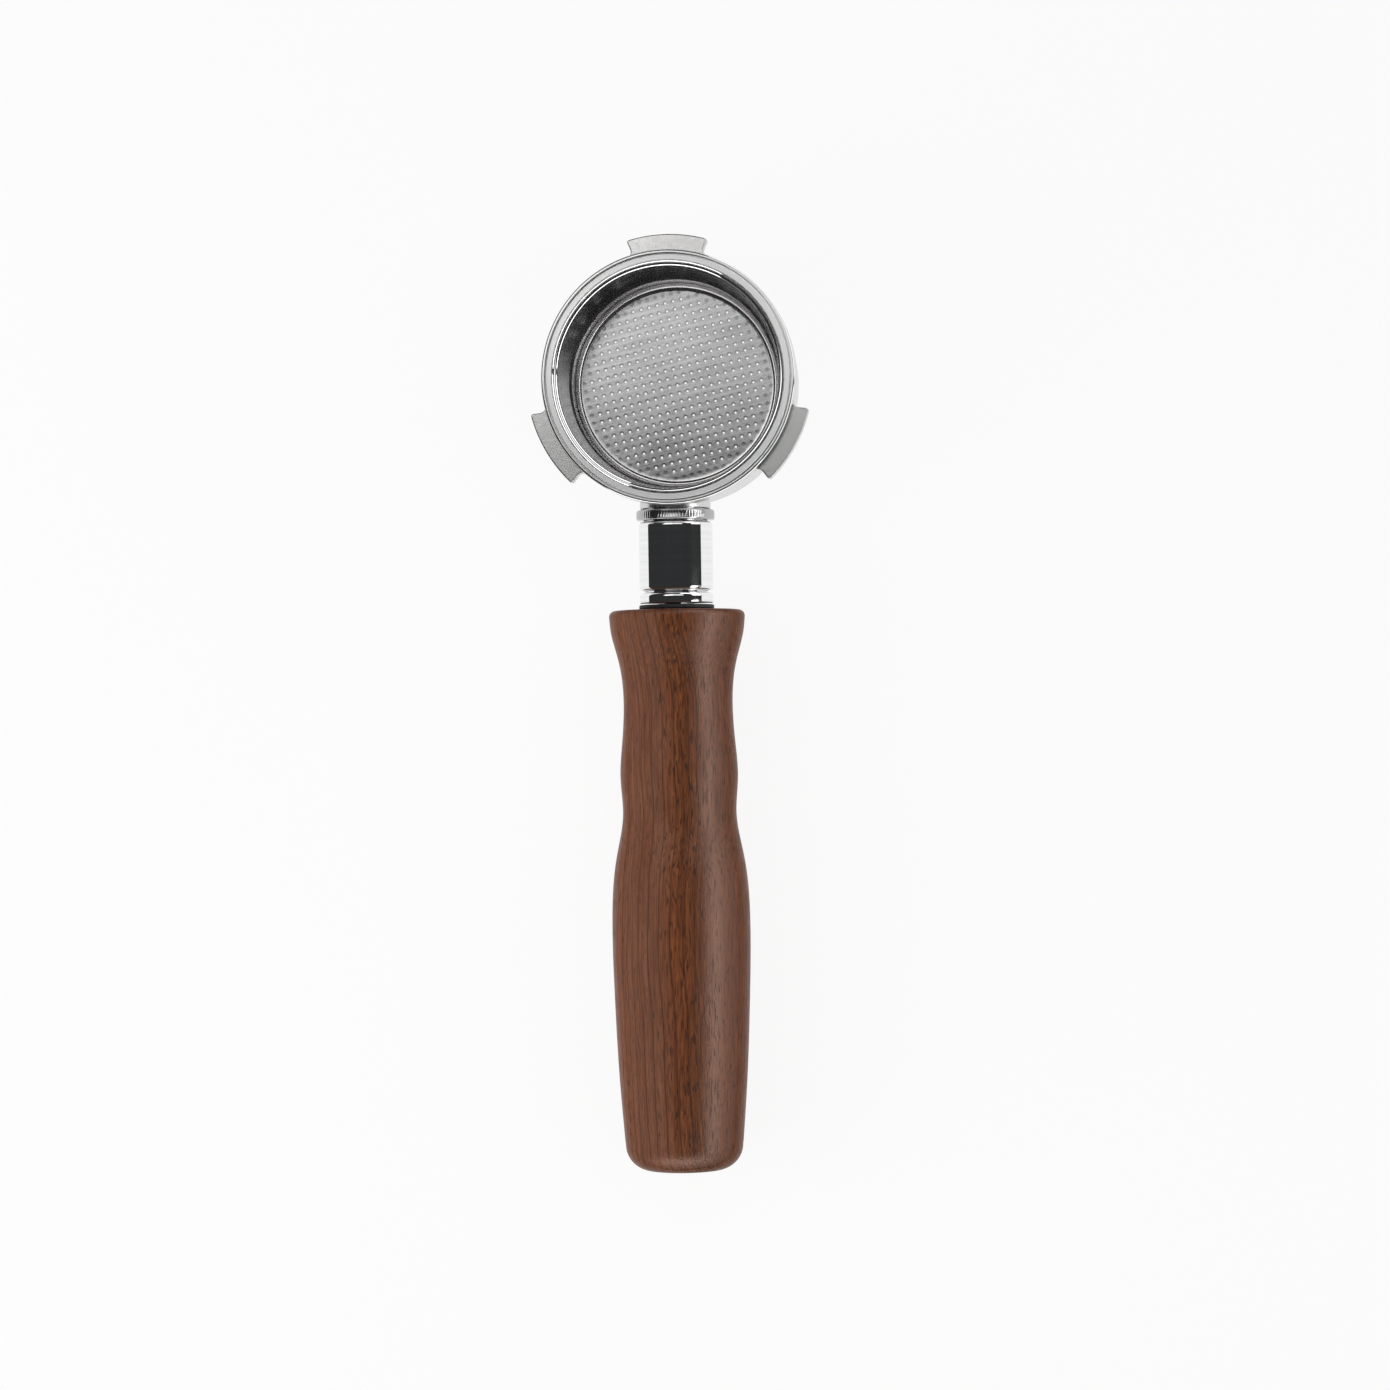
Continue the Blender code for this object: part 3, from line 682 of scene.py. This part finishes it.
def make_head(steel, blasted, polished):
    """The head: a turned ring with three lugs and a boss for the neck, bored in steps."""
    ledge = RIM_TOP - FLANGE_THICK - FLANGE_GAP
    groove = RIM_TOP - CLIP_DEPTH
    shoulder = SKIRT_TOP + HEAD_RADIUS - SKIRT_RADIUS
    body = [(0.0, LIP_TOP, 0), (HEAD_RADIUS, LIP_TOP, RIM_ROUND), (HEAD_RADIUS, shoulder, SHOULDER_ROUND)]
    body += [(SKIRT_RADIUS, SKIRT_TOP, SHOULDER_ROUND), (SKIRT_RADIUS, 0.0, FOOT_ROUND), (0.0, 0.0, 0)]
    head = finish_mesh("head", lathe(rounded(body), HEAD_STEPS), steel, blasted, polished)
    for angle in LUG_ANGLES:
        boolean(head, lug(angle, blasted), "UNION")
    boss = [(0.0, BOSS_START, 0), (BOSS_RADIUS, BOSS_START, 0), (BOSS_RADIUS, BOSS_END, NECK_EDGE)]
    boss += [(SPIGOT_RADIUS, BOSS_END, 0), (SPIGOT_RADIUS, SPIGOT_END, NECK_EDGE), (0.0, SPIGOT_END, 0)]
    boss = finish_mesh("boss", on_handle_axis(lathe(rounded(boss), NECK_STEPS)), steel)
    boolean(head, boss, "UNION")
    below = -OVERCUT
    above = LIP_TOP + OVERCUT
    bore = [(0.0, below), (LOWER_BORE + FOOT_ROUND, below)]
    bore += arc(LOWER_BORE + FOOT_ROUND, FOOT_ROUND, FOOT_ROUND, -90, -180)
    bore += [(LOWER_BORE, BORE_STEP), (UPPER_BORE, BORE_STEP + UPPER_BORE - LOWER_BORE)]
    bore += [(UPPER_BORE, groove - GROOVE_HALF), (GROOVE_RADIUS, groove - GROOVE_HALF)]
    bore += [(GROOVE_RADIUS, groove + GROOVE_HALF), (UPPER_BORE, groove + GROOVE_HALF)]
    bore += [(UPPER_BORE, ledge - FOOT_ROUND), (UPPER_BORE + FOOT_ROUND, ledge), (LIP_INNER, ledge)]
    bore += arc(LIP_INNER + LIP_ROUND, LIP_TOP - LIP_ROUND, LIP_ROUND, 180, 90)
    bore += [(LIP_INNER + LIP_ROUND, above), (0.0, above)]
    boolean(head, finish_mesh("bore", lathe(bore, HEAD_STEPS), steel), "DIFFERENCE")
    hole = [(0.0, STUD_HOLE_START), (STUD_HOLE, STUD_HOLE_START)]
    hole += [(STUD_HOLE, SPIGOT_END + OVERCUT), (0.0, SPIGOT_END + OVERCUT)]
    boolean(head, finish_mesh("hole", on_handle_axis(lathe(hole, STUD_HOLE_STEPS)), steel), "DIFFERENCE")
    slot = head.data.materials.find(polished.name)
    for face in head.data.polygons:
        out = math.hypot(face.center.x, face.center.y)
        if face.center.z > LIP_TOP - RIM_ROUND and HEAD_RADIUS - RIM_ROUND < out < HEAD_RADIUS:
            face.material_index = slot
    head.data.shade_smooth()
    head.data.set_sharp_from_angle(angle=SHARP_ANGLE)
    return keep_flats_flat(head)


def hole_centres():
    """The middles of the perforations: a square grid, turned, inside the floor's field."""
    reach = int(HOLE_FIELD / HOLE_PITCH) + 1
    centres = []
    for i in range(-reach, reach + 1):
        for j in range(-reach, reach + 1):
            x, y = i * HOLE_PITCH, j * HOLE_PITCH
            if math.hypot(x, y) < HOLE_FIELD:
                turned_x = x * math.cos(HOLE_TURN) - y * math.sin(HOLE_TURN)
                turned_y = x * math.sin(HOLE_TURN) + y * math.cos(HOLE_TURN)
                centres.append((turned_x, turned_y))
    return centres


def perforated_disc(radius, steps):
    """The floor's flat part: its points, those on its edge first and then each hole's, and its triangles."""
    points = []
    for k in range(steps):
        angle = math.tau * k / steps
        points.append(Vector((radius * math.cos(angle), radius * math.sin(angle))))
    edges = [(k, (k + 1) % steps) for k in range(steps)]
    centres = hole_centres()
    for cx, cy in centres:
        first = len(points)
        for k in range(HOLE_SIDES):
            angle = math.tau * k / HOLE_SIDES
            points.append(Vector((cx + HOLE_RADIUS * math.cos(angle), cy + HOLE_RADIUS * math.sin(angle))))
            edges.append((first + k, first + (k + 1) % HOLE_SIDES))
    made = delaunay_2d_cdt(points, edges, [], 0, 1e-9)
    placed, triangles = made[0], made[2]
    middles = np.array([sum((placed[i] for i in t), Vector((0.0, 0.0))) / 3 for t in triangles])
    held = np.array(centres)
    kept = []
    for triangle, middle in zip(triangles, middles):
        if ((held - middle) ** 2).sum(axis=1).min() > (HOLE_RADIUS * 0.93) ** 2:
            kept.append(triangle)
    return points, kept


def make_basket(polished, pressed, turned, bright):
    """The pressed basket, one closed sheet: perforated floor, stepped wall, rounded mouth and flange."""
    floor = RIM_TOP - BASKET_DEPTH
    below_mouth = RIM_TOP - BEAD_DEPTH - MOUTH_ROUND
    clip = RIM_TOP - CLIP_DEPTH
    step_top = RIM_TOP - STEP_DEPTH
    step_low = step_top - STEP_HEIGHT
    flange_low = RIM_TOP - FLANGE_THICK
    floor_side = floor + FLOOR_ROUND
    bead = BEAD_RADIUS + BEAD_ROUND
    wall = [(FLOOR_RADIUS + FLOOR_ROUND, floor_side, 0), (WALL_BELOW_STEP, step_low, STEP_BEND)]
    wall += [(WALL_ABOVE_STEP, step_top, STEP_BEND), (WALL_AT_CLIP, clip, CLIP_BEND), (MOUTH_RADIUS, below_mouth, 0)]
    inner = arc(FLOOR_RADIUS, floor_side, FLOOR_ROUND, -90, 0, 12)[:-1]
    inner += rounded(wall)
    inner += arc(MOUTH_RADIUS + MOUTH_ROUND, below_mouth, MOUTH_ROUND, 180, 90, 10)[1:]
    inner += arc(bead, RIM_TOP - BEAD_ROUND, BEAD_ROUND, 180, CREASE_START, 8)
    crease, brink = inner[-1]
    foot = RIM_TOP - CREASE_DEPTH
    inner += [(crease + CREASE_SLOPE, foot), (crease + CREASE_WIDTH - CREASE_SLOPE, foot)]
    inner += [(crease + CREASE_WIDTH, RIM_TOP - CREASE_EDGE), (crease + CREASE_WIDTH + CREASE_EDGE, RIM_TOP)]
    corner = FLANGE_RADIUS - FLANGE_CORNER
    outer = arc(corner, RIM_TOP - FLANGE_CORNER, FLANGE_CORNER, 90, 0)
    outer += arc(corner, flange_low + FLANGE_CORNER, FLANGE_CORNER, 0, -90)
    outside = [(corner, flange_low, 0), (BEAD_OUTSIDE, flange_low, 0.4 * MM)]
    outside += [(BEAD_OUTSIDE, flange_low - 0.9 * MM, 0.3 * MM), (MOUTH_RADIUS + SHEET, below_mouth - SHEET, 0.5 * MM)]
    outside += [(WALL_AT_CLIP + SHEET, clip, CLIP_BEND), (WALL_ABOVE_STEP + SHEET, step_top, STEP_BEND)]
    outside += [(WALL_BELOW_STEP + SHEET, step_low, STEP_BEND)]
    outside += [(FLOOR_RADIUS + FLOOR_ROUND + FLOOR_SHEET, floor_side, 0)]
    outer += rounded(outside)[1:-1]
    outer += arc(FLOOR_RADIUS, floor_side, FLOOR_ROUND + FLOOR_SHEET, 0, -90, 12)

    points, triangles = perforated_disc(FLOOR_FLAT, HEAD_STEPS)
    bm = bmesh.new()
    top = [bm.verts.new((p.x, p.y, floor)) for p in points]
    bottom = [bm.verts.new((p.x, p.y, floor - FLOOR_SHEET)) for p in points]
    for a, b, c in triangles:
        bm.faces.new((top[a], top[b], top[c])).material_index = PRESSED
        bm.faces.new((bottom[c], bottom[b], bottom[a])).material_index = PRESSED
    for first in range(HEAD_STEPS, len(points), HOLE_SIDES):
        for k in range(HOLE_SIDES):
            a, b = first + k, first + (k + 1) % HOLE_SIDES
            bm.faces.new((top[a], bottom[a], bottom[b], top[b])).material_index = PRESSED
    shell = []
    for r, z in inner + outer:
        ring = []
        for k in range(HEAD_STEPS):
            angle = math.tau * k / HEAD_STEPS
            ring.append(bm.verts.new((r * math.cos(angle), r * math.sin(angle), z)))
        shell.append(ring)
    join_rings(bm, [top[:HEAD_STEPS]] + shell + [bottom[:HEAD_STEPS]])
    bmesh.ops.recalc_face_normals(bm, faces=bm.faces)
    for face in bm.faces:
        middle = face.calc_center_median()
        out = math.hypot(middle.x, middle.y)
        if middle.z < floor + 0.02 * MM or out < FLOOR_RADIUS:
            face.material_index = PRESSED
        # Painted shade: the crease's faces take the darker floor steel, so the groove shows as a dark line.
        elif crease < out < crease + CREASE_WIDTH and foot - 0.01 * MM < middle.z < brink:
            face.material_index = PRESSED
        elif out > crease + CREASE_WIDTH:
            face.material_index = TURNED
        elif middle.z > below_mouth:
            face.material_index = BRIGHT
    return keep_flats_flat(finish_mesh("basket", bm, polished, pressed, turned, bright))


def neck_tube(name, material, outer, inner, start, end, edge):
    """A turned tube on the handle's axis with four rounded rims."""
    fine = min(edge / 2, TUBE_INNER_EDGE)
    outline = [(outer, start, edge), (outer, end, edge), (inner, end, fine), (inner, start, fine)]
    return keep_flats_flat(finish_mesh(name, on_handle_axis(lathe(rounded(outline), NECK_STEPS)), material))


def make_collar(material):
    """The collar, its outside finely ribbed between two plain edges."""
    start, end = -collar_high.y, -collar_low.y
    outer = collar_high.x
    edge = COLLAR_EDGE + RIB_DEPTH
    outline = [(SLEEVE_BORE, start + NECK_EDGE / 2), (SLEEVE_BORE + NECK_EDGE / 2, start)]
    outline += arc(outer - COLLAR_EDGE, start + COLLAR_EDGE, COLLAR_EDGE, -90, 0)
    ribs = [(outer, start + edge), (outer, end - edge)]
    outline += ribs + arc(outer - COLLAR_EDGE, end - COLLAR_EDGE, COLLAR_EDGE, 0, 90)
    outline += [(SLEEVE_BORE + NECK_EDGE / 2, end), (SLEEVE_BORE, end - NECK_EDGE / 2)]
    bm = bmesh.new()
    rings = []
    for r, s in outline:
        ring = []
        for k in range(RIBS * RIB_STEPS):
            cut = RIB_DEPTH * (0.5 - 0.5 * math.cos(math.tau * k / RIB_STEPS)) if (r, s) in ribs else 0.0
            angle = math.tau * k / (RIBS * RIB_STEPS)
            ring.append(bm.verts.new(((r - cut) * math.cos(angle), (r - cut) * math.sin(angle), s)))
        rings.append(ring)
    join_rings(bm, rings, closed=True)
    bmesh.ops.recalc_face_normals(bm, faces=bm.faces)
    return finish_mesh("collar", on_handle_axis(bm), material)


def make_ferrule(material):
    """The ferrule, its spigot inside the sleeve."""
    start, end = -ferrule_high.y, -ferrule_low.y
    outer = ferrule_high.x
    shoulder = start + FERRULE_SPIGOT
    outline = [(SPIGOT_RADIUS, start, 0.1 * MM), (SPIGOT_RADIUS, shoulder, 0), (outer, shoulder, NECK_ROUND)]
    outline += [(outer, end, 0.35 * MM), (STUD_HOLE, end, 0.1 * MM), (STUD_HOLE, start, 0.1 * MM)]
    return keep_flats_flat(finish_mesh("ferrule", on_handle_axis(lathe(rounded(outline), NECK_STEPS)), material))


def make_handle(material):
    """The turned wooden handle with the pocket for its insert."""
    side = [(r, HANDLE_FACE + t) for r, t in smooth_curve(HANDLE_STATIONS, HANDLE_SPANS)]
    front, last = HANDLE_STATIONS[0][1], HANDLE_STATIONS[-1][1]
    outline = [(0.0, HANDLE_FACE + POCKET_DEPTH), (POCKET_RADIUS, HANDLE_FACE + POCKET_DEPTH)]
    outline += arc(POCKET_RADIUS + POCKET_EDGE, HANDLE_FACE + POCKET_EDGE, POCKET_EDGE, 180, 270, 3)
    outline += arc(front - FACE_CORNER, HANDLE_FACE + FACE_CORNER, FACE_CORNER, -90, 0, 10)[:-1]
    outline += side[:-1]
    corner = arc(last - END_CORNER, HANDLE_END - END_DOME - END_CORNER, END_CORNER, 0, 80, 22)
    outline += corner
    dome_radius, dome_start = corner[-1]
    for k in range(DOME_STEPS - 1, -1, -1):
        out = k / DOME_STEPS
        outline.append((dome_radius * out, HANDLE_END - (HANDLE_END - dome_start) * out**2))
    return finish_mesh("handle", on_handle_axis(lathe(outline, HANDLE_STEPS)), material)


def make_clip(material):
    """The C-shaped wire, its ends rounded, open towards the handle."""
    wire = (clip_high.z - clip_low.z) / 2
    middle = (clip_high.z + clip_low.z) / 2
    ring = clip_high.x - wire
    first, last = -CLIP_END_STEPS, CLIP_STEPS + CLIP_END_STEPS
    bm = bmesh.new()
    rings = []
    for k in range(first, last + 1):
        inside = min(max(k, 0), CLIP_STEPS)
        over = abs(k - inside) / CLIP_END_STEPS * math.pi / 2
        thick = wire * math.cos(over)
        ahead = wire * math.sin(over) * (1 if k > CLIP_STEPS else -1)
        angle = -math.pi / 2 + CLIP_GAP / 2 + (math.tau - CLIP_GAP) * inside / CLIP_STEPS + ahead / ring
        if k in (first, last):
            vert = bm.verts.new((ring * math.cos(angle), ring * math.sin(angle), middle))
            rings.append([vert] * CLIP_SIDES)
            continue
        loop = []
        for m in range(CLIP_SIDES):
            turn = math.tau * m / CLIP_SIDES
            out = ring + thick * math.cos(turn)
            loop.append(bm.verts.new((out * math.cos(angle), out * math.sin(angle), middle + thick * math.sin(turn))))
        rings.append(loop)
    join_rings(bm, rings)
    bmesh.ops.recalc_face_normals(bm, faces=bm.faces)
    return finish_mesh("clip", bm, material)


# ---------------------------------------------------------------- stage


def light_panel(name, centre, facing, width, height, strength, lights):
    """A soft rectangular light. strength is its radiance; it is a "shine" in the metal or a "fill" for the wood."""
    lamp = bpy.data.lights.new(name, "AREA")
    lamp.shape = "RECTANGLE"
    lamp.size, lamp.size_y = width, height
    lamp.energy = strength * math.pi * width * height
    obj = bpy.data.objects.new(name, lamp)
    bpy.context.scene.collection.objects.link(obj)
    obj.location = centre
    obj.rotation_euler = Vector(facing).to_track_quat("-Z", "Y").to_euler()
    obj.visible_camera = False
    obj.visible_diffuse = lights == "fill"
    obj.visible_glossy = lights == "shine"


def make_floor():
    """A pale light table: it glows evenly and takes only a faint shadow."""
    half = TABLE_HALF
    bm = bmesh.new()
    corners = ((-half, -half), (half, -half), (half, half), (-half, half))
    bm.faces.new([bm.verts.new((x, y, -TABLE_DROP)) for x, y in corners])
    made = Shader("pale_table")
    cloud = made.noise(made.place, 3.0, 2.0, 0.5)
    tint = made.spread(cloud, 0.3, 0.7, 0.995, 1.0)
    made.set(Base_Color=(0.08, 0.08, 0.08), Roughness=0.9, Specular_IOR_Level=0.0)
    made.set(Emission_Color=made.joined(tint, tint, tint), Emission_Strength=TABLE_GLOW)
    finish_mesh("floor", bm, made.material)


def make_world():
    """Pale to the camera, dim to the steel, as in a studio with its walls blacked out."""
    world = bpy.data.worlds.new("studio")
    world.use_nodes = True
    tree = world.node_tree
    back = tree.nodes["Background"]
    back.inputs["Color"].default_value = (0.030, 0.031, 0.032, 1.0)
    pale = tree.nodes.new("ShaderNodeBackground")
    pale.inputs["Color"].default_value = (0.95, 0.95, 0.95, 1.0)
    path = tree.nodes.new("ShaderNodeLightPath")
    mix = tree.nodes.new("ShaderNodeMixShader")
    tree.links.new(path.outputs["Is Camera Ray"], mix.inputs[0])
    tree.links.new(back.outputs[0], mix.inputs[1])
    tree.links.new(pale.outputs[0], mix.inputs[2])
    tree.links.new(mix.outputs[0], tree.nodes["World Output"].inputs["Surface"])
    bpy.context.scene.world = world


def make_lights():
    """A softbox beside the handle, two panels over the head and cards round it, and fills for the wood.

    No shine stands level with the neck at its sides, which keeps them dark.
    """
    down, back, front, right = (0.0, 0.0, -1.0), (0.0, -1.0, 0.0), (0.0, 1.0, 0.0), (-1.0, 0.0, 0.0)
    light_panel("side_softbox", (0.54, -0.293, 0.29), right, 0.514, 0.28, 2.9, "shine")
    light_panel("overhead", (-0.05, 0.285, 1.0), down, 1.10, 0.46, 1.2, "shine")
    light_panel("overhead_left", (-0.41, 0.31, 1.001), down, 0.62, 0.44, 0.7, "shine")
    light_panel("back_card", (0.55, 0.9, 0.325), back, 0.7, 0.55, 2.5, "shine")
    light_panel("right_card", (0.9, 0.475, 0.325), right, 0.85, 0.55, 2.5, "shine")
    light_panel("gap_card", (2.0, -0.08, 0.72), right, 0.125, 1.2, 2.5, "shine")
    light_panel("front_card", (0.2, -1.2, 0.425), front, 2.2, 0.75, 2.5, "shine")
    light_panel("top_fill", (0.0, -0.15, 1.6), down, 4.0, 4.0, 0.74, "fill")
    light_panel("left_fill", (-0.75, -0.30, 0.45), (0.85, 0.1, -0.5), 0.70, 0.55, 3.8, "fill")
    light_panel("right_fill", (0.75, -0.30, 0.45), (-0.85, 0.1, -0.5), 0.70, 0.55, 0.9, "fill")


def make_camera():
    """A long lens above the part, looking almost straight down."""
    data = bpy.data.cameras.new("camera")
    data.sensor_width = 36.0
    data.lens = CAMERA_LENS
    data.clip_start, data.clip_end = 0.01, 20.0
    camera = bpy.data.objects.new("camera", data)
    bpy.context.scene.collection.objects.link(camera)
    camera.location = CAMERA_PLACE
    camera.rotation_euler = tuple(math.radians(a) for a in CAMERA_TILT)
    bpy.context.scene.camera = camera


# ---------------------------------------------------------------- the portafilter


def dress(node, material):
    """Gives a CAD node that stays in view its material."""
    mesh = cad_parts[node].data
    mesh.materials.clear()
    mesh.materials.append(material)


def stand_for(piece, node, body):
    """Puts a detailed piece in the place of a CAD node."""
    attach(piece, body)
    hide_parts(node)


def main():
    scene = bpy.context.scene
    scene.view_settings.view_transform = "Standard"
    make_camera()
    make_world()
    make_lights()
    make_floor()

    ring_steel = turned_steel("ring_steel", (0.70, 0.70, 0.695), 0.26)
    edge_steel = turned_steel("ring_edge", (0.70, 0.70, 0.70), 0.12, depth=0.001 * MM, spread=0.02)
    lug_steel = blasted_steel("lug_steel", (0.52, 0.515, 0.51), 0.22)
    mouth_steel = mirror_steel("basket_mouth", (0.82, 0.82, 0.82), 0.05, "head")
    wall_steel = mirror_steel("basket_wall", (0.66, 0.65, 0.65), 0.20, "head", 0.85)
    floor_steel = pressed_steel("basket_floor", (0.37, 0.37, 0.37), 0.16)
    flange_steel = turned_steel("basket_flange", (0.80, 0.80, 0.795), 0.34)
    neck_steel = mirror_steel("neck_steel", (0.90, 0.90, 0.90), 0.035)
    collar_steel = turned_steel("collar_steel", (0.48, 0.48, 0.48), 0.13, 3200.0, 0.001 * MM, "handle", 0.03)
    black_rubber = rubber("black_rubber")
    wood = dark_wood("dark_wood")
    spring_steel = plated_steel("spring_steel", (0.46, 0.46, 0.47), 0.34)
    zinc = plated_steel("zinc_plate", (0.66, 0.67, 0.69), 0.36)
    brass = plated_steel("brass", (0.78, 0.57, 0.25), 0.30)

    fixed = "head_and_handle"
    stand_for(make_head(ring_steel, lug_steel, edge_steel), "head_ring", fixed)
    basket = make_basket(wall_steel, floor_steel, flange_steel, mouth_steel)
    stand_for(basket, "filter_basket", "basket")
    stand_for(make_clip(spring_steel), "retaining_spring", fixed)
    stand_for(make_collar(collar_steel), "neck_collar", fixed)
    sleeve = neck_tube("sleeve", neck_steel, sleeve_high.x, SLEEVE_BORE, -sleeve_high.y, -sleeve_low.y, NECK_ROUND)
    stand_for(sleeve, "neck_sleeve", fixed)
    stand_for(make_ferrule(neck_steel), "neck_ferrule", fixed)
    washer = neck_tube("washer", black_rubber, washer_high.x, STUD_HOLE, -washer_high.y, -washer_low.y, NECK_EDGE)
    stand_for(washer, "handle_washer", fixed)
    stand_for(make_handle(wood), "wooden_handle", fixed)
    dress("tie_stud", zinc)
    dress("stud_lock_nut", zinc)
    dress("stud_lock_washer", spring_steel)
    dress("handle_insert", brass)


main()
